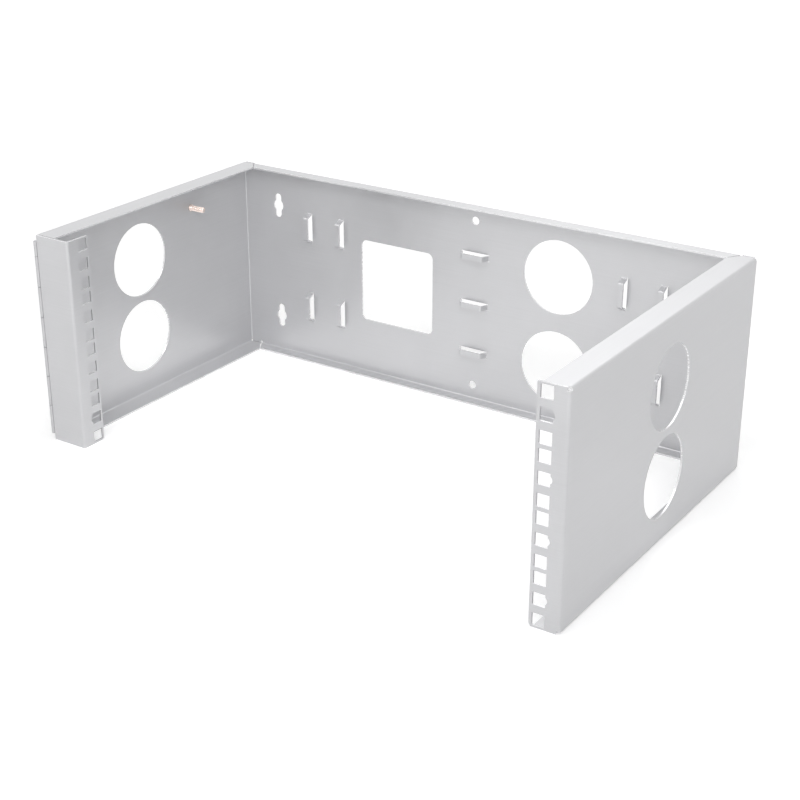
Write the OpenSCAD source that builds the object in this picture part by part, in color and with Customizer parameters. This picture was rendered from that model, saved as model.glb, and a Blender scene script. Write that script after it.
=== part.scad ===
// Hinged wall frame for 19-inch rack panels, folded from sheet metal.
// X runs along the wall, Y points into the wall and Z points up.
// The origin is the middle of the face that lies on the wall.

/* [Rack pattern] */
// Height of the frame in rack units
units = 4; // [4:1:8]
// Height of one rack unit
unit_h = 44.45; // [44:0.05:52]
// Distance between neighbouring holes of one unit
hole_pitch = 15.875; // [15:0.125:17]
// Distance between the left and right columns of holes
rack_span = 465.1; // [440:0.1:640]
// Side of a square hole
hole_size = 9.5; // [6:0.1:10.5]
// Diameter of the round notch in the middle hole of a unit
notch_d = 6.5; // [4:0.1:8]
// How far that notch reaches past the hole
notch_out = 1.5; // [0.5:0.1:2.5]

/* [Folded sheet] */
// Thickness of the sheet
sheet_t = 1.5; // [1:0.1:2.5]
// Radius inside each fold
bend_r = 1; // [0.5:0.1:2]
// From the column of holes to the outer face of a side
side_margin = 16.45; // [14:0.05:25]
// Depth of the right side, from the wall to the front of its holes
right_depth = 300; // [260:1:500]
// Width of the top and bottom lips of the sides
side_lip = 20; // [16:0.5:30]
// Width of the top and bottom lips of the back
back_lip = 12.7; // [8:0.1:20]
// Sheet left between a rack hole and the edge of the right flange
rack_web = 2.4; // [1.5:0.1:6]
// Width of the relief slot at each end of a back lip
relief_w = 2; // [1:0.1:3]
// From the outer face of a side to the relief slot
relief_in = 12; // [8:0.5:14]
// Gap at the slanted seam between two lips
seam_gap = 0.8; // [0.4:0.1:1.5]
// Gap between a right lip and the flange in front of it
front_gap = 0.3; // [0.1:0.1:1]
// Radius of the lower free corners of the hole flanges
low_corner_r = 3; // [1:0.1:4]
// Radius of the upper free corners of the hole flanges
top_corner_r = 1; // [0.5:0.1:4]

/* [Back panel] */
// Distance between the left and right keyholes
keyhole_span = 420; // [390:1:430]
// From the top or bottom edge to a keyhole
keyhole_drop = 35.4; // [25:0.1:50]
// Diameter of the wide middle of a keyhole
keyhole_d = 10.5; // [8:0.1:14]
// Width of the narrow ends of a keyhole
keyhole_slot_w = 6.4; // [4:0.1:7.5]
// Whole height of a keyhole
keyhole_l = 22; // [18:0.5:30]
// Width of the box cut-out
cutout_w = 75; // [40:1:90]
// Height of the box cut-out
cutout_h = 75; // [40:1:110]
// Corner radius of the box cut-out
cutout_r = 5.5; // [1:0.1:10]
// From the middle of the back to the middle of the cut-out
cutout_x = 80; // [65:1:85]
// Diameter of the two cable ports in the back
port_d = 64; // [40:1:70]
// From the middle of the back to the cable ports
port_x = 80; // [60:1:90]
// Distance between the two cable ports
port_pitch = 80; // [74:1:90]
// Diameter of the single screw holes on the middle line
pilot_d = 7; // [4:0.5:9]
// From the top or bottom edge to a single screw hole
pilot_drop = 13.9; // [11:0.1:16]

/* [Tie bridges] */
// Length of a bridge for cable ties
tie_l = 28.5; // [20:0.5:32]
// Width of a bridge
tie_w = 4.5; // [3:0.5:8]
// Width of the slots that part a bridge from the back panel on both sides
tie_slot_w = 0.8; // [0.4:0.1:1.5]
// How far a bridge stands forward of the back panel
tie_rise = 6.5; // [4:0.5:8]
// Angle of the ramps of a bridge
tie_ramp = 64; // [30:1:70]
// Radius inside the bends of a bridge
tie_bend_r = 1; // [0.5:0.1:2]
// From the middle of the back to the inner upright bridges
tie_inner_x = 140; // [134:1:150]
// From the middle of the back to the outer upright bridges
tie_outer_x = 175; // [165:1:182]
// Distance between the upper and lower upright bridges
tie_pitch = 76; // [60:1:80]
// Distance between the level bridges on the middle line
level_pitch = 44; // [30:1:48]

/* [Side ports] */
// Diameter of the cable ports in the sides
side_port_d = 64; // [40:1:68]
// From the wall to the middle of the side ports
side_port_y = 148; // [120:1:160]
// Distance between the two ports of one side
side_port_pitch = 70; // [70:1:80]

/* [Swing rail] */
// How far the folded rail stays behind the right flange
rail_setback = 35; // [28:1:45]
// Thickness of the rail
rail_t = 1.5; // [1:0.1:2.5]
// Sheet left between a rack hole and the free edge of the rail
rail_web = 1.8; // [1.5:0.1:6]

/* [Hinge] */
// Thickness of both hinge leaves
leaf_t = 0.8; // [0.6:0.1:1.5]
// Diameter of the hinge pin
pin_d = 1.6; // [1.4:0.1:4]
// Play between the pin and a knuckle, on the radius
pin_play = 0.05; // [0.02:0.01:0.1]
// Length that the knuckles come closest to
knuckle_l = 25.4; // [12.7:0.1:30]
// Gap between two knuckles
knuckle_gap = 0.4; // [0.2:0.1:1]
// Slit between the rolled end of a knuckle and its own leaf
roll_gap = 0.2; // [0.1:0.05:0.4]
// Room between each leaf and the parts that pass it
leaf_play = 0.3; // [0.2:0.05:0.6]
// Width of the leaf on the left side
fixed_leaf_w = 22; // [12:1:40]
// Width of the leaf on the rail
rail_leaf_w = 24; // [12:1:26]
// From the ends of the rail to the ends of the hinge
hinge_inset = 5; // [3.5:0.5:12]

/* [Ground stud] */
// Thread diameter of the ground stud
stud_d = 5; // [4:1:8]
// Length of the ground stud from the sheet
stud_l = 15; // [10:1:25]
// Diameter of the welded foot of the stud
stud_foot_d = 6.5; // [6:0.5:10]
// Thickness of the welded foot
stud_foot_t = 1; // [0.5:0.1:2]
// From the wall to the stud
stud_y = 79; // [40:1:100]
// From the top edge of the side to the stud
stud_drop = 24.5; // [15:0.5:40]

/* [Hidden] */
$fn = 64;
// How far a cutter runs past the sheet
cut = 1;
// Straight steps along one bend of a bridge
arc_steps = 4;
// Angle towards the wall in the section of a bridge
wall_angle = 90;
// Angle towards the front in the section of a bridge
front_angle = -90;

sheet_colour = [0.76, 0.77, 0.78];
hinge_colour = [0.70, 0.71, 0.72];
pin_colour = [0.62, 0.63, 0.65];
stud_colour = [0.84, 0.66, 0.56];

height = units * unit_h;
half_h = height / 2;
width = rack_span + 2 * side_margin;
half_w = width / 2;
fold_r = bend_r + sheet_t;
rail_fold_r = bend_r + rail_t;
flat_top = half_h - fold_r;

hole_count = 3 * units;
hole_edge = (unit_h - 2 * hole_pitch) / 2;
hole_x = rack_span / 2;
rack_edge_x = hole_x - hole_size / 2 - rack_web;
lip_x = half_w - relief_in - relief_w;
port_z = port_pitch / 2;

bore_r = pin_d / 2 + pin_play;
knuckle_r = bore_r + leaf_t;
rail_front_y = rail_setback - right_depth;
leaf_back_y = rail_front_y + rail_t + leaf_t;
pin_x = -half_w + sheet_t + leaf_t - knuckle_r;
pin_y = leaf_back_y - knuckle_r;
left_depth = -leaf_back_y - leaf_play;
rail_near_x = pin_x + knuckle_r + leaf_play;
rail_far_x = pin_x + right_depth + pin_y;
rail_hole_y = pin_y - hole_x - pin_x;
rail_end_y = rail_hole_y + hole_size / 2 + rail_web;
hinge_l = height - 2 * hinge_inset;
hinge_top = hinge_l / 2;
full_knuckles = round(hinge_l / knuckle_l - 0.5);
knuckle_pitch = hinge_l / (full_knuckles + 0.5);

// Height of hole i, counted from the top
function hole_z(i) = half_h - floor(i / 3) * unit_h - hole_edge - (i % 3) * hole_pitch;

// Upper and lower end of knuckle i; the first one is half as long as the rest
function knuckle_hi(i) = hinge_top - max(0, i - 0.5) * knuckle_pitch;
function knuckle_lo(i) = hinge_top - (i + 0.5) * knuckle_pitch;

// Section of a right-angled fold, in the first quadrant round its centre
module fold_section(thickness) {
    outer_r = bend_r + thickness;
    intersection() {
        difference() {
            circle(r = outer_r);
            circle(r = bend_r);
        }
        square(outer_r);
    }
}

// Rectangle with rounded corners about the origin
module rounded_rect(w, h, r) {
    square([w - 2 * r, h], center = true);
    square([w, h - 2 * r], center = true);
    for (x = [-1, 1], y = [-1, 1])
        translate([x * (w / 2 - r), y * (h / 2 - r)])
            circle(r = r);
}

// What comes off a free corner at the origin to round it; the sheet lies at +X and +Y
module corner_waste(r) {
    difference() {
        translate([-cut, -cut])
            square(r + cut);
        translate([r, r])
            circle(r = r);
    }
}

// Both free corners at the edge of a hole flange, with the flange towards +X in the XY plane
module flange_corners() {
    translate([0, -half_h])
        corner_waste(low_corner_r);
    translate([0, half_h])
        mirror([0, 1])
            corner_waste(top_corner_r);
}

// Outline of one rack hole; the notch lies at +X
module rack_hole(i) {
    square(hole_size, center = true);
    if (i % 3 == 1)
        translate([hole_size / 2 + notch_out - notch_d / 2, 0])
            circle(d = notch_d);
}

// Column of rack holes over the full height
module rack_holes() {
    for (i = [0 : hole_count - 1])
        translate([0, hole_z(i)])
            rack_hole(i);
}

// Double-ended keyhole: a narrow slot with a wide middle
module keyhole() {
    end_z = (keyhole_l - keyhole_slot_w) / 2;
    square([keyhole_slot_w, 2 * end_z], center = true);
    for (z = [-end_z, end_z])
        translate([0, z])
            circle(d = keyhole_slot_w);
    circle(d = keyhole_d);
}

// Everything cut out of the back panel, seen from the front
module back_openings() {
    for (x = [-1, 1], z = [-1, 1])
        translate([x * keyhole_span / 2, z * (half_h - keyhole_drop)])
            keyhole();
    translate([-cutout_x, 0])
        rounded_rect(cutout_w, cutout_h, cutout_r);
    for (z = [-1, 1]) {
        translate([port_x, z * port_z])
            circle(d = port_d);
        translate([0, z * (half_h - pilot_drop)])
            circle(d = pilot_d);
    }
}

// Places of the bridges: upright ones in two groups, level ones on the middle line
module at_bridges() {
    for (x = [-tie_outer_x, -tie_inner_x, tie_inner_x, tie_outer_x], z = [-1, 1])
        translate([x, 0, z * tie_pitch / 2])
            children();
    for (z = [-1, 0, 1])
        translate([0, 0, z * level_pitch])
            rotate([0, 90, 0])
                children();
}

// Opening that a bridge is pushed out of, a slot wider than the bridge on both sides
module bridge_window() {
    window_w = tie_w + 2 * tie_slot_w;
    translate([-window_w / 2, -sheet_t - cut, -tie_l / 2])
        cube([window_w, sheet_t + 2 * cut, tie_l]);
}

// Points along an arc between two directions
function arc(centre, radius, from, to) = [
    for (i = [0 : arc_steps])
        let (angle = from + (to - from) * i / arc_steps)
            centre + radius * [cos(angle), sin(angle)]
];

// The same stretch of outline at the other end of a bridge
function other_end(points) = [
    for (i = [len(points) - 1 : -1 : 0])
        [-points[i].x, points[i].y]
];

// Bridge for cable ties in section: X runs along it from its middle, Y into the wall
module bridge_section() {
    outer_r = tie_bend_r + sheet_t;
    middle_r = tie_bend_r + sheet_t / 2;
    ramp_l = (tie_rise - 2 * middle_r * (1 - cos(tie_ramp))) / sin(tie_ramp);
    run = 2 * middle_r * sin(tie_ramp) + ramp_l * cos(tie_ramp);
    foot = [tie_l / 2, -outer_r];
    shoulder = [tie_l / 2 - run, tie_bend_r - tie_rise];
    front = concat(
        arc(foot, tie_bend_r, wall_angle, wall_angle + tie_ramp),
        arc(shoulder, outer_r, front_angle + tie_ramp, front_angle)
    );
    back = concat(
        arc(shoulder, tie_bend_r, front_angle, front_angle + tie_ramp),
        arc(foot, outer_r, wall_angle + tie_ramp, wall_angle)
    );
    polygon(concat(front, other_end(front), other_end(back), back));
}

// Bridge for cable ties: a strip pushed forward out of the back panel
module bridge() {
    translate([tie_w / 2, 0, 0])
        rotate([0, -90, 0])
            linear_extrude(tie_w)
                bridge_section();
}

// Plan of the folded sheet: left side, back, right side and right flange
module plan_section() {
    translate([fold_r - half_w, -sheet_t])
        square([width - 2 * fold_r, sheet_t]);
    translate([-half_w, -left_depth])
        square([sheet_t, left_depth - fold_r]);
    translate([half_w - sheet_t, fold_r - right_depth])
        square([sheet_t, right_depth - 2 * fold_r]);
    translate([rack_edge_x, -right_depth])
        square([half_w - fold_r - rack_edge_x, sheet_t]);
    translate([fold_r - half_w, -fold_r])
        mirror([1, 0])
            fold_section(sheet_t);
    translate([half_w - fold_r, -fold_r])
        fold_section(sheet_t);
    translate([half_w - fold_r, fold_r - right_depth])
        mirror([0, 1])
            fold_section(sheet_t);
}

// Stretches of the plan that are not folded over and rise to the full height
module plan_full_height() {
    for (side = [-1, 1])
        translate([side * (half_w - (fold_r + relief_in) / 2), -sheet_t / 2])
            square([relief_in - fold_r, sheet_t], center = true);
    translate([rack_edge_x, -right_depth])
        square([half_w - fold_r - rack_edge_x, sheet_t]);
}

// Lip along the top of the back, between its two relief slots
module back_lip_top() {
    end_x = half_w - side_lip;
    translate([-lip_x, -fold_r, flat_top])
        rotate([90, 0, 90])
            linear_extrude(2 * lip_x)
                fold_section(sheet_t);
    translate([0, 0, half_h - sheet_t])
        linear_extrude(sheet_t)
            polygon([
                [-lip_x, -fold_r], [lip_x, -fold_r],
                [end_x, -back_lip], [-end_x, -back_lip]
            ]);
}

// Lip along the top of a side, drawn for the left; bend_end and flat_end are its front ends
module side_lip_top(bend_end, flat_end) {
    inner_x = side_lip - half_w;
    translate([fold_r - half_w, -fold_r, flat_top])
        rotate([90, 0, 0])
            linear_extrude(bend_end - fold_r)
                mirror([1, 0])
                    fold_section(sheet_t);
    translate([0, 0, half_h - sheet_t])
        linear_extrude(sheet_t)
            polygon([
                [fold_r - half_w, -sheet_t - seam_gap],
                [relief_in - half_w, -sheet_t - seam_gap],
                [inner_x, -back_lip - seam_gap],
                [inner_x, -flat_end],
                [fold_r - half_w, -flat_end]
            ]);
}

// All lips along the top edge
module top_lips() {
    back_lip_top();
    side_lip_top(left_depth, left_depth);
    mirror([1, 0, 0])
        side_lip_top(right_depth - fold_r, right_depth - sheet_t - front_gap);
}

// The folded sheet: back, both sides, right flange, lips and bridges in one piece
module wall_bracket() {
    color(sheet_colour) {
        difference() {
            union() {
                translate([0, 0, -flat_top])
                    linear_extrude(2 * flat_top)
                        plan_section();
                translate([0, 0, -half_h])
                    linear_extrude(height)
                        plan_full_height();
                top_lips();
                mirror([0, 0, 1])
                    top_lips();
            }
            // Openings of the back panel
            translate([0, cut, 0])
                rotate([90, 0, 0])
                    linear_extrude(sheet_t + 2 * cut)
                        back_openings();
            at_bridges()
                bridge_window();
            // Relief slots run a little past the fold into the back panel
            for (x = [-1, 1], z = [-1, 1])
                translate([x * (half_w - relief_in - relief_w / 2), -fold_r / 2, z * half_h])
                    cube([relief_w, fold_r + 2 * cut, 2 * (fold_r + relief_w / 2)], center = true);
            // Cable ports of both sides
            for (z = [-1, 1])
                translate([-half_w - cut, -side_port_y, z * side_port_pitch / 2])
                    rotate([0, 90, 0])
                        cylinder(d = side_port_d, h = width + 2 * cut);
            // Rack holes and free corners of the right flange
            translate([0, cut - right_depth + sheet_t, 0])
                rotate([90, 0, 0])
                    linear_extrude(sheet_t + 2 * cut) {
                        translate([hole_x, 0])
                            rack_holes();
                        translate([rack_edge_x, 0])
                            flange_corners();
                    }
        }
        at_bridges()
            bridge();
    }
}

// L-shaped rail on the left: plain front leg, and a leg with the rack holes
module swing_rail() {
    color(sheet_colour)
        difference() {
            translate([0, 0, -half_h])
                linear_extrude(height) {
                    translate([rail_near_x, rail_front_y])
                        square([rail_far_x - rail_fold_r - rail_near_x, rail_t]);
                    translate([rail_far_x - rail_t, rail_front_y + rail_fold_r])
                        square([rail_t, rail_end_y - rail_front_y - rail_fold_r]);
                    translate([rail_far_x - rail_fold_r, rail_front_y + rail_fold_r])
                        mirror([0, 1])
                            fold_section(rail_t);
                }
            translate([rail_far_x - rail_t - cut, 0, 0])
                rotate([90, 0, 90])
                    linear_extrude(rail_t + 2 * cut) {
                        translate([rail_hole_y, 0])
                            mirror([1, 0])
                                rack_holes();
                        translate([rail_end_y, 0])
                            mirror([1, 0])
                                flange_corners();
                    }
        }
}

// Section of a knuckle rolled from its leaf, with the pin at the origin and the leaf towards +Y
module knuckle_section() {
    difference() {
        circle(r = knuckle_r);
        circle(r = bore_r);
        translate([bore_r - roll_gap, 0])
            square([roll_gap, knuckle_r]);
    }
    translate([bore_r, 0])
        square([leaf_t, knuckle_r + leaf_play]);
}

// One leaf of the hinge round the Z axis; of the knuckles it has every second one from the first given
module hinge_leaf(first, leaf_w) {
    root = knuckle_r + leaf_play;
    translate([bore_r, root, -hinge_top])
        cube([leaf_t, leaf_w - root, hinge_l]);
    for (i = [first : 2 : full_knuckles])
        translate([0, 0, knuckle_lo(i) + knuckle_gap / 2])
            linear_extrude(knuckle_hi(i) - knuckle_lo(i) - knuckle_gap)
                knuckle_section();
}

// Leaf on the inner face of the left side
module hinge_leaf_fixed() {
    color(hinge_colour)
        translate([pin_x, pin_y, 0])
            hinge_leaf(0, fixed_leaf_w);
}

// Leaf behind the front leg of the rail, turned and mirrored from the other one
module hinge_leaf_moving() {
    color(hinge_colour)
        translate([pin_x, pin_y, 0])
            mirror([1, -1, 0])
                hinge_leaf(1, rail_leaf_w);
}

// Plain pin over the whole length of the hinge
module hinge_pin() {
    color(pin_colour)
        translate([pin_x, pin_y, -hinge_top])
            cylinder(d = pin_d, h = hinge_l);
}

// Threaded stud welded to the inner face of the left side
module ground_stud() {
    color(stud_colour)
        translate([sheet_t - half_w, -stud_y, half_h - stud_drop])
            rotate([0, 90, 0]) {
                cylinder(d = stud_foot_d, h = stud_foot_t);
                cylinder(d = stud_d, h = stud_l);
            }
}

wall_bracket();
swing_rail();
hinge_leaf_fixed();
hinge_leaf_moving();
hinge_pin();
ground_stud();
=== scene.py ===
"""Looks of a folded steel wall frame for 19-inch rack panels, whose rail swings out on a piano hinge."""

import math

import bmesh
import bpy
import numpy as np
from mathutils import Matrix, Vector
from mathutils.bvhtree import BVHTree


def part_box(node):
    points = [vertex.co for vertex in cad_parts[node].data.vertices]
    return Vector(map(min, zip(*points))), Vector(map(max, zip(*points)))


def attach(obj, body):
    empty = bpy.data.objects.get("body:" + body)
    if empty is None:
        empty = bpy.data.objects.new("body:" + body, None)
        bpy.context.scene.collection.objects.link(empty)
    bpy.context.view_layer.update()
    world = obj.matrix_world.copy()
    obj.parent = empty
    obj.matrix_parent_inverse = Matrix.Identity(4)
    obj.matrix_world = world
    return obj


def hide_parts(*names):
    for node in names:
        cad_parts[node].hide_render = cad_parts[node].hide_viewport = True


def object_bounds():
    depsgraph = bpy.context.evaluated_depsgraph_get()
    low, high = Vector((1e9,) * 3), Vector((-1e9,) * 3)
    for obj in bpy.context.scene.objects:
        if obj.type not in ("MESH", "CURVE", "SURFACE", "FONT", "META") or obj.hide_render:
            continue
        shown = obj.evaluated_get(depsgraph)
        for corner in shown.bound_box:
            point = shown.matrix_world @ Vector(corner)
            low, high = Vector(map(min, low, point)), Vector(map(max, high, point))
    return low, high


bl_info = {
    "name": "Hinged rack frame",
    "version": (1, 0, 0),
    "blender": (4, 5, 0),
    "location": "3D View > Sidebar > Rack frame",
    "description": "Plated sheet, piano hinge and copper-flashed ground stud round a packed CAD frame",
    "category": "Object",
}

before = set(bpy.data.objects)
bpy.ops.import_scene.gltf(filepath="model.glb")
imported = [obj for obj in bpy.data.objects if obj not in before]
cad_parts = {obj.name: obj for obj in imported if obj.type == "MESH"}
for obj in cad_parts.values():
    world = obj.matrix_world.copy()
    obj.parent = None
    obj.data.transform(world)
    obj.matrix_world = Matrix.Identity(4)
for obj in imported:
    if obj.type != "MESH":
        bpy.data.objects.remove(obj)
CAD_BOX = [list(corner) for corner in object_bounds()]

MM = 0.001
BRACKET_LOW, BRACKET_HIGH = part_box("wall_bracket")
PIN_LOW, PIN_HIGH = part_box("hinge_pin")
PIN_RADIUS = (PIN_HIGH.x - PIN_LOW.x) / 2
PIN_LENGTH = PIN_HIGH.z - PIN_LOW.z
PIN_FOOT = ((PIN_LOW.x + PIN_HIGH.x) / 2, (PIN_LOW.y + PIN_HIGH.y) / 2, PIN_LOW.z)
STUD_LOW, STUD_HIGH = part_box("ground_stud")
STUD_LENGTH = STUD_HIGH.x - STUD_LOW.x
STUD_FOOT = (STUD_LOW.x, (STUD_LOW.y + STUD_HIGH.y) / 2, (STUD_LOW.z + STUD_HIGH.z) / 2)
# Radius over the crests of the thread, which the stud's box doesn't tell because its foot is wider
STUD_RADIUS = 2.5 * MM

# Points closer than this are one point in the merged copies
MERGE_DISTANCE = 0.002 * MM
# Planes closer than this, with normals equal to one part in NORMAL_STEPS, are one plane
PLANE_GAP = 20 * MERGE_DISTANCE
NORMAL_STEPS = 500
# Faces that turn more than this meet in a cut edge
CUT_TURN = math.radians(35)
# Faces that turn less than this are shaded as one surface
SMOOTH_TURN = math.radians(50)
# A face with more metal than this behind it is a cut edge of the 1.5 mm sheet
CUT_DEPTH = 2.4 * MM
# Depth noted for a face that has no other wall behind it
NO_FAR_WALL = 1.0
# A face whose normal is steeper than this along Z is level
LEVEL_NORMAL = 0.7
# Level faces this close to the outside of the right or left side belong to its lips
LIP_ZONE = 22 * MM
# Scale of the rolling lines along and across them
GRAIN_ALONG, GRAIN_ACROSS = 14.0, 2600.0
# Most of a noise lies between these
NOISE_LOW, NOISE_HIGH = 0.3, 0.7

# Places too fine for a bevel, as boxes in rows of a middle and half sizes. First the bridges, in
# millimetres, then the corners where two lips meet
BRIDGE_X, BRIDGE_Y, BRIDGE_Z = (-175, -140, 140, 175), -4, (-38, 38)
LEVEL_BRIDGE_Z = (-44, 0, 44)
BRIDGE_ACROSS, BRIDGE_DEEP, BRIDGE_ALONG = 4.5, 6, 16
UPRIGHT_BRIDGES = [
    (x, BRIDGE_Y, z, BRIDGE_ACROSS, BRIDGE_DEEP, BRIDGE_ALONG) for x in BRIDGE_X for z in BRIDGE_Z
]
LEVEL_BRIDGES = [(0, BRIDGE_Y, z, BRIDGE_ALONG, BRIDGE_DEEP, BRIDGE_ACROSS) for z in LEVEL_BRIDGE_Z]
LIP_CORNERS = [
    (x, 0, z, 6 * MM, 3.6 * MM, 4.4 * MM)
    for x in (BRACKET_LOW.x, BRACKET_HIGH.x)
    for z in (BRACKET_LOW.z, BRACKET_HIGH.z)
]
FINE_FOLDS = np.vstack([np.array(UPRIGHT_BRIDGES + LEVEL_BRIDGES) * MM, LIP_CORNERS])
# The same for the slits of the rolled knuckles, from the pin's middle
SLIT_X, SLIT_Y, SLIT_HALF_X, SLIT_HALF_Y = np.array([0.55, 0.95, 0.8, 0.95]) * MM
KNUCKLE_SLITS = np.array([
    (PIN_FOOT[0] + SLIT_X, PIN_FOOT[1] + SLIT_Y, 0, SLIT_HALF_X, SLIT_HALF_Y, PIN_LENGTH)
])

# Point on the floor under the middle of the frame, half the floor's side, and its gap below the frame
FLOOR_MIDDLE = (0, -0.15, CAD_BOX[0][2])
FLOOR_HALF = 6.0
FLOOR_GAP = 0.05 * MM
# The floor's glow near the frame and far from it, and the distances between which it grows
GLOW_NEAR, GLOW_FAR = 0.3, 1.0
GLOW_START, GLOW_END = 0.45, 1.9
# Strength of the world's light on the object
WORLD_LIGHT = 0.05
# Name, place, point looked at, size in metres and power in watts of the soft lights
SOFTBOXES = (
    ("overhead_softbox", (0.1, 0.3, 1.6), (0, -0.15, 0), 1.4, 15),
    ("front_overhead_softbox", (-0.1, -1.1, 2.1), (0, -0.1, 0), 1.2, 14),
    ("high_right_softbox", (2.0, -2.4, 2.0), (0, -0.1, 0), 1.8, 48),
    ("low_front_softbox", (0.8, -4.0, 0.5), (0, -0.1, 0), 1.8, 20),
    ("high_left_softbox", (-2.4, -1.9, 2.2), (0, -0.1, 0), 1.2, 15),
    ("back_left_softbox", (-0.35, 1.0, 0.9), (0.15, -0.15, 0), 0.5, 0.85),
)
# Width of the picture and the camera's focal length in pixels, and the sensor's width in millimetres
IMAGE_WIDTH, FOCAL_LENGTH = 800, 1573
SENSOR_WIDTH = 36
CLIP_START, CLIP_END = 0.01, 50


class SheetFinish(bpy.types.PropertyGroup):
    """Edge rounding, colours and gloss of the plated sheet"""

    colour: bpy.props.FloatVectorProperty(
        name="Sheet colour",
        description="Colour of the light grey plating",
        default=(0.623, 0.624, 0.637),
        size=3,
        min=0,
        max=1,
        subtype="COLOR",
    )
    # Painted highlight: the cut edges get a lighter colour that stands for the bright lines light draws
    # along them
    cut_highlight_colour: bpy.props.FloatVectorProperty(
        name="Cut edge colour",
        description="Colour of the punched edges, burnished by the tool",
        default=(0.803, 0.804, 0.814),
        size=3,
        min=0,
        max=1,
        subtype="COLOR",
    )
    edge_radius: bpy.props.FloatProperty(
        name="Edge radius",
        description="Rounding left on the punched edges",
        default=0.12 * MM,
        min=0.02 * MM,
        max=0.5 * MM,
        unit="LENGTH",
    )
    roughness: bpy.props.FloatProperty(
        name="Roughness",
        description="Roughness of the satin plating",
        default=0.34,
        min=0.1,
        max=0.9,
        subtype="FACTOR",
    )


class HingeFinish(bpy.types.PropertyGroup):
    """Edges and colours of the piano hinge"""

    leaf_colour: bpy.props.FloatVectorProperty(
        name="Leaf colour",
        description="Colour of the plated hinge leaves",
        default=(0.563, 0.564, 0.577),
        size=3,
        min=0,
        max=1,
        subtype="COLOR",
    )
    pin_colour: bpy.props.FloatVectorProperty(
        name="Pin colour",
        description="Colour of the drawn steel pin",
        default=(0.36, 0.37, 0.385),
        size=3,
        min=0,
        max=1,
        subtype="COLOR",
    )
    leaf_edge_radius: bpy.props.FloatProperty(
        name="Leaf edge radius",
        description="Rounding left on the edges of the leaves",
        default=0.06 * MM,
        min=0.02 * MM,
        max=0.2 * MM,
        unit="LENGTH",
    )
    pin_chamfer: bpy.props.FloatProperty(
        name="Pin chamfer",
        description="Chamfer at both ends of the pin",
        default=0.3 * MM,
        min=0.05 * MM,
        max=0.6 * MM,
        unit="LENGTH",
    )


class StudSizes(bpy.types.PropertyGroup):
    """Sizes and colour of the ground stud"""

    # Painted highlight: the copper colour is paled towards white, as the stud looks under the lamps' glare
    colour: bpy.props.FloatVectorProperty(
        name="Stud colour",
        description="Colour of the copper flash",
        default=(0.95, 0.82, 0.76),
        size=3,
        min=0,
        max=1,
        subtype="COLOR",
    )
    pitch: bpy.props.FloatProperty(
        name="Thread pitch",
        description="Pitch of the M5 thread",
        default=0.8 * MM,
        min=0.4 * MM,
        max=2 * MM,
        unit="LENGTH",
    )
    thread_depth: bpy.props.FloatProperty(
        name="Thread depth",
        description="From the crest to the root of the thread",
        default=0.48 * MM,
        min=0.1 * MM,
        max=1 * MM,
        unit="LENGTH",
    )
    foot_radius: bpy.props.FloatProperty(
        name="Foot radius",
        description="Radius of the welded foot",
        default=3.25 * MM,
        min=2.5 * MM,
        max=5 * MM,
        unit="LENGTH",
    )
    foot_height: bpy.props.FloatProperty(
        name="Foot height",
        description="Thickness of the welded foot",
        default=1 * MM,
        min=0.3 * MM,
        max=2 * MM,
        unit="LENGTH",
    )


class StageSizes(bpy.types.PropertyGroup):
    """Colour of the floor and place of the camera"""

    floor_colour: bpy.props.FloatVectorProperty(
        name="Floor colour",
        description="Colour of the plain pale floor",
        default=(0.86, 0.86, 0.86),
        size=3,
        min=0,
        max=1,
        subtype="COLOR",
    )
    camera_azimuth: bpy.props.FloatProperty(
        name="Camera azimuth",
        description="Camera's angle to the right of the front",
        default=math.radians(33.73),
        subtype="ANGLE",
    )
    camera_elevation: bpy.props.FloatProperty(
        name="Camera elevation",
        description="Camera's angle above the horizon",
        default=math.radians(23.84),
        subtype="ANGLE",
    )
    camera_distance: bpy.props.FloatProperty(
        name="Camera distance",
        description="From the camera to the point it looks at",
        default=1.241,
        unit="LENGTH",
    )
    camera_aim: bpy.props.FloatVectorProperty(
        name="Camera aim",
        description="Point that the camera looks at",
        default=(0.0227, -0.150, -0.0296),
        size=3,
        subtype="XYZ",
        unit="LENGTH",
    )


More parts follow.
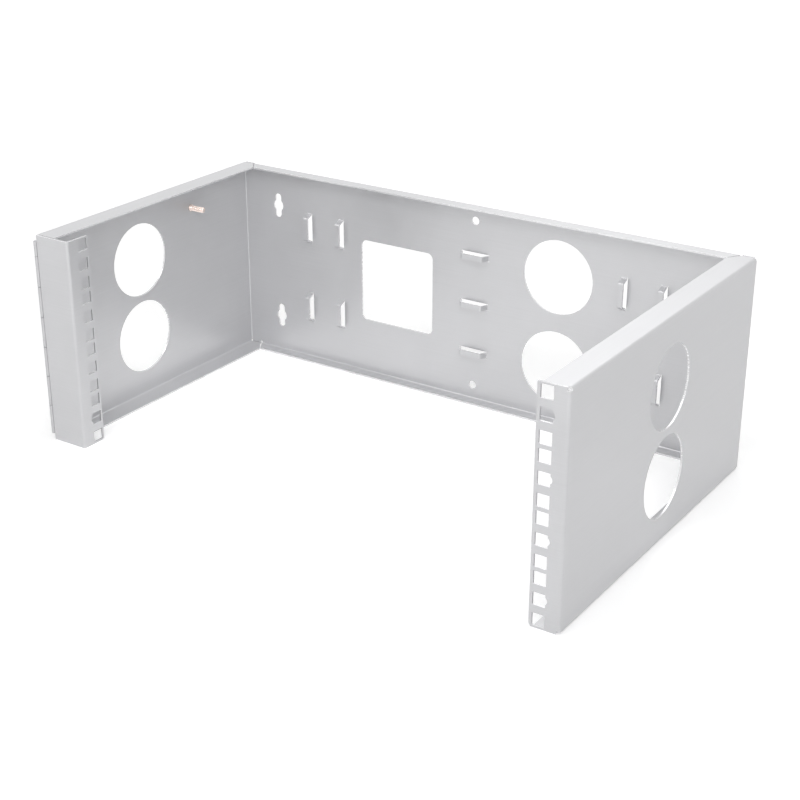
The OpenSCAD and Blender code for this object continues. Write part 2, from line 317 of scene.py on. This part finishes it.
class Nodes:
    """Node tree of a material or of the world, built by calls that add to it and return an output."""

    def __init__(self, owner, output_kind):
        owner.use_nodes = True
        self.owner = owner
        self.tree = owner.node_tree
        self.tree.nodes.clear()
        self.surface = self.tree.nodes.new(output_kind).inputs["Surface"]

    def feed(self, socket, value):
        """Links an output into a socket, or sets a constant on it."""
        if isinstance(value, bpy.types.NodeSocket):
            self.tree.links.new(value, socket)
        elif isinstance(value, tuple) and len(value) < len(socket.default_value):
            socket.default_value = (*value, 1)
        else:
            socket.default_value = value

    def node(self, kind, *values, output=0, settings=None, **inputs):
        """Adds a node with its settings, feeds its sockets in order and by name, and returns an output."""
        made = self.tree.nodes.new(kind)
        for key, value in (settings or {}).items():
            setattr(made, key, value)
        for socket, value in zip(made.inputs, values):
            self.feed(socket, value)
        for key, value in inputs.items():
            self.feed(made.inputs[key.replace("_", " ")], value)
        return made.outputs[output]

    def math(self, operation, a, b):
        """Two numbers put together by an operation."""
        return self.node("ShaderNodeMath", a, b, settings={"operation": operation})

    def remap(self, value, low, high, to_low, to_high, shape="LINEAR"):
        """Maps a value's range onto another and clamps it, on a straight line unless a shape is named."""
        return self.node(
            "ShaderNodeMapRange",
            settings={"interpolation_type": shape},
            Value=value,
            From_Min=low,
            From_Max=high,
            To_Min=to_low,
            To_Max=to_high,
        )

    def vary(self, noise, low, high):
        """Maps the usual range of a noise onto another."""
        return self.remap(noise, NOISE_LOW, NOISE_HIGH, low, high)

    def seen_or_mirrored(self):
        """1 for what the camera sees, straight on, in gloss or through glass, and 0 for other light."""
        path = self.tree.nodes.new("ShaderNodeLightPath").outputs
        seen = self.math("MAXIMUM", path["Is Camera Ray"], path["Is Glossy Ray"])
        return self.math("MAXIMUM", seen, path["Is Transmission Ray"])


class Shader(Nodes):
    """Nodes of a new material, with object coordinates at hand."""

    def __init__(self, name):
        super().__init__(bpy.data.materials.new(name), "ShaderNodeOutputMaterial")
        self.object_point = self.node("ShaderNodeTexCoord", output="Object")

    def attribute(self, name, output):
        """An attribute of the mesh by its name."""
        return self.node("ShaderNodeAttribute", output=output, settings={"attribute_name": name})

    def noise(self, scale, detail=2.0, roughness=0.5, point=None):
        """Noise at a place, the object coordinates unless another is given."""
        return self.node(
            "ShaderNodeTexNoise",
            Vector=point or self.object_point,
            Scale=scale,
            Detail=detail,
            Roughness=roughness,
        )

    def drawn_lines(self, scale, detail=2.0, roughness=0.5):
        """Noise drawn out into lines, by object coordinates times a scale for each axis."""
        settings = {"operation": "MULTIPLY"}
        point = self.node("ShaderNodeVectorMath", self.object_point, scale, settings=settings)
        return self.noise(1.0, detail, roughness, point)

    def tint(self, colour, factor):
        """A colour multiplied by a value that varies round 1."""
        settings = {"operation": "SCALE"}
        return self.node("ShaderNodeVectorMath", tuple(colour), settings=settings, Scale=factor)

    def blend(self, factor, a, b):
        """Colour a where the factor is 0, and b where it is 1."""
        made = self.tree.nodes.new("ShaderNodeMix")
        made.data_type = "RGBA"
        self.feed(made.inputs["Factor"], factor)
        first, second = (socket for socket in made.inputs if socket.type == "RGBA")
        self.feed(first, a)
        self.feed(second, b)
        return next(socket for socket in made.outputs if socket.type == "RGBA")

    def bump(self, height, distance, strength, **below):
        """Normals of a height, on top of those of another bump if one is given as Normal."""
        return self.node("ShaderNodeBump", Height=height, Distance=distance, Strength=strength, **below)

    def metal(self, colour, roughness, normal, metallic):
        """Ends the tree in a metallic surface and returns the material."""
        surface = self.node(
            "ShaderNodeBsdfPrincipled",
            Base_Color=colour,
            Roughness=roughness,
            Normal=normal,
            Metallic=metallic,
        )
        self.feed(self.surface, surface)
        return self.owner


def plated_sheet_material(finish):
    """Satin zinc plating on rolled sheet: fine rolling lines, clouds in the gloss, cut edges lighter by a
    painted highlight and a little glossier.
    """
    burnish = 0.08
    nodes = Shader("satin_plated_sheet")
    lines = nodes.drawn_lines(nodes.attribute("grain", "Vector"), detail=3.0, roughness=0.6)
    cut = nodes.attribute("cut_edge", "Fac")
    clouds = nodes.noise(26.0, detail=4.0, roughness=0.55)
    specks = nodes.noise(2400.0, detail=1.0)
    cloud_shade = nodes.vary(clouds, 0.985, 1.015)
    shade = nodes.math("MULTIPLY", cloud_shade, nodes.vary(lines, 0.975, 1.02))
    # Painted highlight: faces marked as cut edges take the lighter cut colour
    colour = nodes.blend(cut, nodes.tint(finish.colour, shade), nodes.tint(finish.cut_highlight_colour, shade))
    cloud_gloss = nodes.vary(clouds, finish.roughness - 0.03, finish.roughness + 0.04)
    rough = nodes.math("ADD", cloud_gloss, nodes.vary(lines, -0.02, 0.03))
    rough = nodes.math("SUBTRACT", rough, nodes.math("MULTIPLY", cut, burnish))
    rolled = nodes.bump(lines, 0.004 * MM, 0.35)
    normal = nodes.bump(specks, 0.003 * MM, 0.3, Normal=rolled)
    return nodes.metal(colour, rough, normal, metallic=0.5)


def hinge_material(finish):
    """Plated hinge strip: lines along the hinge, a little darker than the sheet."""
    nodes = Shader("plated_hinge_strip")
    lines = nodes.drawn_lines((2600, 2600, 12), roughness=0.6)
    clouds = nodes.noise(60.0, detail=3.0)
    colour = nodes.tint(finish.leaf_colour, nodes.vary(clouds, 0.96, 1.03))
    rough = nodes.vary(lines, 0.34, 0.44)
    return nodes.metal(colour, rough, nodes.bump(lines, 0.004 * MM, 0.3), metallic=0.6)


def pin_material(finish):
    """Drawn steel wire: bright, with draw lines along it."""
    nodes = Shader("drawn_steel_pin")
    lines = nodes.drawn_lines((5000, 5000, 20))
    colour = nodes.tint(finish.pin_colour, nodes.vary(lines, 0.93, 1.05))
    rough = nodes.vary(lines, 0.26, 0.36)
    return nodes.metal(colour, rough, nodes.bump(lines, 0.003 * MM, 0.3), metallic=1.0)


def stud_material(sizes):
    """Copper flash over steel: warm pink paled by a painted highlight, a little duller in patches."""
    nodes = Shader("copper_flash")
    patches = nodes.noise(700.0, detail=3.0, roughness=0.6)
    dull = tuple(0.85 * channel for channel in sizes.colour)
    colour = nodes.blend(nodes.remap(patches, 0.35, 0.7, 0.0, 1.0), tuple(sizes.colour), dull)
    rough = nodes.vary(patches, 0.2, 0.32)
    return nodes.metal(colour, rough, nodes.bump(patches, 0.004 * MM, 0.3), metallic=1.0)


def floor_material(colour):
    """Pale floor: lit and shadowed as a plain surface, and glowing where the camera or gloss sees it.

    The glow is small round the object, so its shadow stays, and grows to plain white further out.
    """
    nodes = Shader("pale_floor")
    away = nodes.node(
        "ShaderNodeVectorMath",
        nodes.object_point,
        FLOOR_MIDDLE,
        output="Value",
        settings={"operation": "DISTANCE"},
    )
    glow = nodes.remap(away, GLOW_START, GLOW_END, GLOW_NEAR, GLOW_FAR, "SMOOTHSTEP")
    strength = nodes.math("MULTIPLY", nodes.seen_or_mirrored(), glow)
    glowing = nodes.node("ShaderNodeEmission", Strength=strength)
    lit = nodes.node("ShaderNodeBsdfDiffuse", Color=tuple(colour))
    nodes.feed(nodes.surface, nodes.node("ShaderNodeAddShader", lit, glowing))
    return nodes.owner


def shade_smooth(mesh):
    """Marks every face of a mesh as smooth and brings the mesh up to date."""
    mesh.polygons.foreach_set("use_smooth", np.ones(len(mesh.polygons), bool))
    mesh.update()


def read_array(items, name, width=1, kind=float):
    """One attribute of every item of a mesh as an array."""
    values = np.zeros(len(items) * width, kind)
    items.foreach_get(name, values)
    return values.reshape(-1, width) if width > 1 else values


def even_normals(mesh):
    """Corner normals that keep flat sheet flat and bends round.

    At a corner the normals of all faces round its vertex are added up, apart from those that turn away from
    the corner's own face by more than SMOOTH_TURN. Each counts by the area of the whole plane that it lies
    in, so the large flat face wins over the narrow strips beside it.
    """
    normal = read_array(mesh.polygons, "normal", 3)
    centre = read_array(mesh.polygons, "center", 3)
    area = read_array(mesh.polygons, "area")
    sides = read_array(mesh.polygons, "loop_total", kind=np.int32)
    vertex = read_array(mesh.loops, "vertex_index", kind=np.int32)
    offset = (normal * centre).sum(1, keepdims=True) / PLANE_GAP
    rounded = np.round(np.hstack([normal * NORMAL_STEPS, offset]))
    plane = np.unique(rounded, axis=0, return_inverse=True)[1].ravel()
    weight = np.bincount(plane, area)[plane]
    face = np.repeat(np.arange(len(sides)), sides)
    order = np.argsort(vertex, kind="stable")
    count = np.bincount(vertex)
    partners = count[vertex]
    own = np.repeat(np.arange(len(vertex)), partners)
    step = np.arange(len(own)) - np.repeat(np.cumsum(partners) - partners, partners)
    other = order[(np.cumsum(count) - count)[vertex[own]] + step]
    close = (normal[face[own]] * normal[face[other]]).sum(1) > math.cos(SMOOTH_TURN)
    own, other = own[close], face[other[close]]
    total = np.stack([np.bincount(own, weight[other] * normal[other, k]) for k in range(3)], axis=1)
    return total / np.linalg.norm(total, axis=1, keepdims=True)


def rolling_grain(mesh):
    """Scale of the rolling lines on every face: fine across them and coarse along.

    Upright faces have level lines. Level faces have theirs along the side beside them, or along the wall.
    """
    normal = read_array(mesh.polygons, "normal", 3)
    centre = read_array(mesh.polygons, "center", 3)
    level = np.abs(normal[:, 2]) > LEVEL_NORMAL
    beside = np.abs(centre[:, 0]) > CAD_BOX[1][0] - LIP_ZONE
    across = np.where(level, np.where(beside, 0, 1), 2)
    grain = np.full((len(normal), 3), GRAIN_ALONG)
    grain[np.arange(len(normal)), across] = GRAIN_ACROSS
    return grain


def edges_to_round(work, kept_sharp):
    """Edges of a bmesh whose faces turn by more than CUT_TURN.

    Those whose middle lies in one of the boxes kept_sharp, rows of a middle and half sizes, are left out.
    """
    edges = [edge for edge in work.edges if edge.calc_face_angle(0) > CUT_TURN]
    middles = np.array([(edge.verts[0].co + edge.verts[1].co) / 2 for edge in edges])
    away = np.abs(middles[:, None] - kept_sharp[None, :, :3])
    kept = (away < kept_sharp[None, :, 3:]).all(2).any(1)
    return [edge for edge, keep in zip(edges, kept) if not keep]


def metal_behind(work):
    """Thickness of metal behind the middle of every face of a bmesh, straight inwards."""
    tree = BVHTree.FromBMesh(work)
    depth = []
    for face in work.faces:
        inside = face.calc_center_median() - MERGE_DISTANCE * face.normal
        depth.append(tree.ray_cast(inside, -face.normal)[3] or NO_FAR_WALL)
    return np.array(depth)


def eased_copy(node, name, radius, steps, kept_sharp):
    """Merged copy of a CAD node whose cut edges are rounded by a small radius.

    No point leaves the node's own box. Every face notes in cut_edge whether it is a cut edge of the sheet,
    and in grain the scale of its rolling lines.
    """
    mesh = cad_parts[node].data.copy()
    mesh.name = name
    work = bmesh.new()
    work.from_mesh(mesh)
    bmesh.ops.remove_doubles(work, verts=work.verts, dist=MERGE_DISTANCE)
    bmesh.ops.bevel(
        work,
        geom=edges_to_round(work, kept_sharp),
        offset=radius,
        offset_type="OFFSET",
        segments=steps,
        profile=0.5,
        affect="EDGES",
        clamp_overlap=False,
        loop_slide=False,
        miter_outer="SHARP",
    )
    work.normal_update()
    depth = metal_behind(work)
    work.to_mesh(mesh)
    work.free()
    for layer in ("custom_normal", "sharp_edge", "sharp_face"):
        if layer in mesh.attributes:
            mesh.attributes.remove(mesh.attributes[layer])
    low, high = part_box(node)
    points = np.clip(read_array(mesh.vertices, "co", 3), low, high)
    mesh.vertices.foreach_set("co", points.ravel())
    shade_smooth(mesh)
    mesh.normals_split_custom_set(even_normals(mesh))
    cut_edge = mesh.attributes.new("cut_edge", "FLOAT", "FACE")
    cut_edge.data.foreach_set("value", (depth > CUT_DEPTH).astype(float))
    grain = mesh.attributes.new("grain", "FLOAT_VECTOR", "FACE")
    grain.data.foreach_set("vector", rolling_grain(mesh).ravel())
    return mesh


def turned_mesh(name, along, radii, foot, axis):
    """Closed surface round the X or Z axis, 0 or 2, with one radius per row and angle.

    Row i lies along[i] from the foot, and angle j of n is 2 pi j / n, at the distance radii[i, j] from the
    axis. The first and last rows are closed by a fan round a pole on the axis.
    """
    rows, steps = radii.shape
    angle = np.arange(steps) * (2 * math.pi / steps)
    first_across, second_across = [k for k in range(3) if k != axis]
    points = np.zeros((rows, steps, 3))
    points[..., axis] = foot[axis] + along[:, None]
    points[..., first_across] = foot[first_across] + radii * np.cos(angle)
    points[..., second_across] = foot[second_across] + radii * np.sin(angle)
    poles = np.array([foot, foot], float)
    poles[:, axis] += [along[0], along[-1]]
    corner = np.arange(rows * steps).reshape(rows, steps)
    right = np.roll(corner, -1, axis=1)
    walls = np.stack([corner[:-1], right[:-1], right[1:], corner[1:]], axis=-1).reshape(-1, 4)
    low_pole, high_pole = rows * steps, rows * steps + 1
    low_fan = np.stack([np.full(steps, low_pole), right[0], corner[0]], axis=-1)
    high_fan = np.stack([np.full(steps, high_pole), corner[-1], right[-1]], axis=-1)
    vertices = np.vstack([points.reshape(-1, 3), poles])
    mesh = bpy.data.meshes.new(name)
    mesh.from_pydata(vertices.tolist(), [], walls.tolist() + low_fan.tolist() + high_fan.tolist())
    shade_smooth(mesh)
    return mesh


def pin_mesh(chamfer):
    """Plain pin with a rounded chamfer at both ends.

    The radius is less by the whole chamfer at an end face, by 0.45 of it a quarter of the way in, and by
    nothing from there on.
    """
    steps = 48
    near = np.array([0, 0.25, 1]) * chamfer
    lost = np.array([1, 0.45, 0]) * chamfer
    along = np.concatenate([near, [PIN_LENGTH / 2], (PIN_LENGTH - near)[::-1]])
    profile = PIN_RADIUS - np.concatenate([lost, [0], lost[::-1]])
    return turned_mesh("drawn_pin", along, np.repeat(profile[:, None], steps, axis=1), PIN_FOOT, 2)


def stud_mesh(sizes):
    """Threaded stud: the radius falls from the crest by a clipped saw of the helix phase.

    The phase is u / pitch - angle / (2 pi). Its distance from the middle of a turn, less the flat crest and
    the flat root, gives the share of the thread depth. The thread fades in over one turn above the foot and
    is cut by a 45 degree chamfer at the tip. The foot is a low disc with a rounded rim and a small fillet.
    """
    steps, rows_per_turn = 64, 16
    crest, root = 0.08, 0.06
    fillet, rim, tip = 0.35 * MM, 0.3 * MM, 0.6 * MM
    foot = sizes.foot_height
    start = foot + fillet
    turn = np.linspace(0, math.pi / 2, 5)
    foot_along = np.concatenate([[0.0], foot - rim + rim * np.sin(turn)])
    foot_radius = sizes.foot_radius + np.concatenate([[0.0], rim * np.cos(turn) - rim])
    neck_along = foot + fillet * (1 - np.cos(turn))
    neck_radius = STUD_RADIUS + fillet * (1 - np.sin(turn))
    count = int((STUD_LENGTH - start) / sizes.pitch * rows_per_turn)
    shaft = np.linspace(start, STUD_LENGTH, count + 1)[1:]
    angle = np.arange(steps) * (2 * math.pi / steps)
    phase = np.mod(shaft[:, None] / sizes.pitch - angle[None, :] / (2 * math.pi), 1)
    share = np.clip((2 * np.abs(phase - 0.5) - crest) / (1 - crest - root), 0, 1)
    fade = np.clip((shaft - start) / sizes.pitch, 0, 1)[:, None]
    thread = STUD_RADIUS - sizes.thread_depth * share * fade
    chamfer = (STUD_RADIUS - np.clip(shaft - (STUD_LENGTH - tip), 0, tip))[:, None]
    plain = np.concatenate([foot_radius, neck_radius])
    radii = np.vstack([np.repeat(plain[:, None], steps, axis=1), np.minimum(thread, chamfer)])
    along = np.concatenate([foot_along, neck_along, shaft])
    return turned_mesh("copper_stud", along, radii, STUD_FOOT, 0)


def add_piece(mesh, material, body, node):
    """Puts a mesh into the scene as the piece that stands for a CAD node."""
    piece = bpy.data.objects.new(mesh.name, mesh)
    bpy.context.scene.collection.objects.link(piece)
    mesh.materials.clear()
    mesh.materials.append(material)
    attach(piece, body)
    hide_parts(node)


def lay_floor(colour):
    """Square floor just under the frame."""
    z = FLOOR_MIDDLE[2] - FLOOR_GAP
    corners = [(x * FLOOR_HALF, y * FLOOR_HALF, z) for x, y in ((-1, -1), (1, -1), (1, 1), (-1, 1))]
    mesh = bpy.data.meshes.new("floor")
    mesh.from_pydata(corners, [], [(0, 1, 2, 3)])
    mesh.materials.append(floor_material(colour))
    floor = bpy.data.objects.new("floor", mesh)
    bpy.context.scene.collection.objects.link(floor)


def light_world():
    """World that is white to the camera and in gloss, and lights the object very little."""
    world = bpy.data.worlds.new("studio")
    nodes = Nodes(world, "ShaderNodeOutputWorld")
    strength = nodes.remap(nodes.seen_or_mirrored(), 0, 1, WORLD_LIGHT, 1)
    nodes.feed(nodes.surface, nodes.node("ShaderNodeBackground", Color=(1, 1, 1), Strength=strength))
    bpy.context.scene.world = world


def hang_softbox(name, place, aim, size, power):
    """Square area light that looks at a point."""
    lamp = bpy.data.lights.new(name, "AREA")
    lamp.shape = "SQUARE"
    lamp.size = size
    lamp.energy = power
    holder = bpy.data.objects.new(name, lamp)
    holder.location = place
    holder.rotation_euler = (Vector(aim) - Vector(place)).to_track_quat("-Z", "Y").to_euler()
    bpy.context.scene.collection.objects.link(holder)


def set_up_camera(sizes):
    """Camera at its azimuth and elevation from the point it looks at."""
    camera = bpy.data.cameras.new("camera")
    camera.sensor_width = SENSOR_WIDTH
    camera.lens = FOCAL_LENGTH / IMAGE_WIDTH * SENSOR_WIDTH
    camera.clip_start = CLIP_START
    camera.clip_end = CLIP_END
    azimuth, elevation = sizes.camera_azimuth, sizes.camera_elevation
    level = math.cos(elevation)
    outward = Vector((math.sin(azimuth) * level, -math.cos(azimuth) * level, math.sin(elevation)))
    holder = bpy.data.objects.new("camera", camera)
    holder.location = Vector(sizes.camera_aim) + sizes.camera_distance * outward
    holder.rotation_euler = (-outward).to_track_quat("-Z", "Y").to_euler()
    bpy.context.scene.collection.objects.link(holder)
    bpy.context.scene.camera = holder


class RACKFRAME_OT_sheet(bpy.types.Operator):
    """Finish the folded bracket and the swing rail"""

    bl_idname = "rackframe.sheet"
    bl_label = "Folded sheet"

    def execute(self, context):
        finish = context.scene.rackframe_sheet
        material = plated_sheet_material(finish)
        for node, name, body in (
            ("wall_bracket", "folded_bracket", "bracket"),
            ("swing_rail", "folded_rail", "rail"),
        ):
            mesh = eased_copy(node, name, finish.edge_radius, 2, FINE_FOLDS)
            add_piece(mesh, material, body, node)
        return {"FINISHED"}


class RACKFRAME_OT_hinge(bpy.types.Operator):
    """Finish both leaves of the piano hinge and turn its pin"""

    bl_idname = "rackframe.hinge"
    bl_label = "Piano hinge"

    def execute(self, context):
        finish = context.scene.rackframe_hinge
        material = hinge_material(finish)
        for node, name, body in (
            ("hinge_leaf_fixed", "leaf_on_side", "bracket"),
            ("hinge_leaf_moving", "leaf_on_rail", "rail"),
        ):
            mesh = eased_copy(node, name, finish.leaf_edge_radius, 1, KNUCKLE_SLITS)
            add_piece(mesh, material, body, node)
        add_piece(pin_mesh(finish.pin_chamfer), pin_material(finish), "bracket", "hinge_pin")
        return {"FINISHED"}


class RACKFRAME_OT_stud(bpy.types.Operator):
    """Cut the thread of the ground stud on its welded foot"""

    bl_idname = "rackframe.stud"
    bl_label = "Ground stud"

    def execute(self, context):
        sizes = context.scene.rackframe_stud
        add_piece(stud_mesh(sizes), stud_material(sizes), "bracket", "ground_stud")
        return {"FINISHED"}


class RACKFRAME_OT_stage(bpy.types.Operator):
    """Lay the pale floor, hang the soft lights and set up the camera"""

    bl_idname = "rackframe.stage"
    bl_label = "Stage"

    def execute(self, context):
        sizes = context.scene.rackframe_stage
        lay_floor(sizes.floor_colour)
        light_world()
        for softbox in SOFTBOXES:
            hang_softbox(*softbox)
        set_up_camera(sizes)
        context.scene.view_settings.view_transform = "Standard"
        return {"FINISHED"}


# Each operator with the name and the class of its values in the scene, in the order of their use
STEPS = (
    (RACKFRAME_OT_sheet, "rackframe_sheet", SheetFinish),
    (RACKFRAME_OT_hinge, "rackframe_hinge", HingeFinish),
    (RACKFRAME_OT_stud, "rackframe_stud", StudSizes),
    (RACKFRAME_OT_stage, "rackframe_stage", StageSizes),
)


class RACKFRAME_PT_panel(bpy.types.Panel):
    """Steps and values of the rack frame"""

    bl_label = "Rack frame"
    bl_idname = "RACKFRAME_PT_panel"
    bl_space_type = "VIEW_3D"
    bl_region_type = "UI"
    bl_category = "Rack frame"

    def draw(self, context):
        for operator, key, group in STEPS:
            box = self.layout.box()
            box.operator(operator.bl_idname)
            for value in group.__annotations__:
                box.prop(getattr(context.scene, key), value)


def register():
    for operator, key, group in STEPS:
        bpy.utils.register_class(group)
        setattr(bpy.types.Scene, key, bpy.props.PointerProperty(type=group))
        bpy.utils.register_class(operator)
    bpy.utils.register_class(RACKFRAME_PT_panel)


def unregister():
    bpy.utils.unregister_class(RACKFRAME_PT_panel)
    for operator, key, group in reversed(STEPS):
        bpy.utils.unregister_class(operator)
        delattr(bpy.types.Scene, key)
        bpy.utils.unregister_class(group)


def main():
    """Registers the add-on and takes its steps in order."""
    register()
    bpy.ops.rackframe.sheet()
    bpy.ops.rackframe.hinge()
    bpy.ops.rackframe.stud()
    bpy.ops.rackframe.stage()


if __name__ == "__main__":
    main()
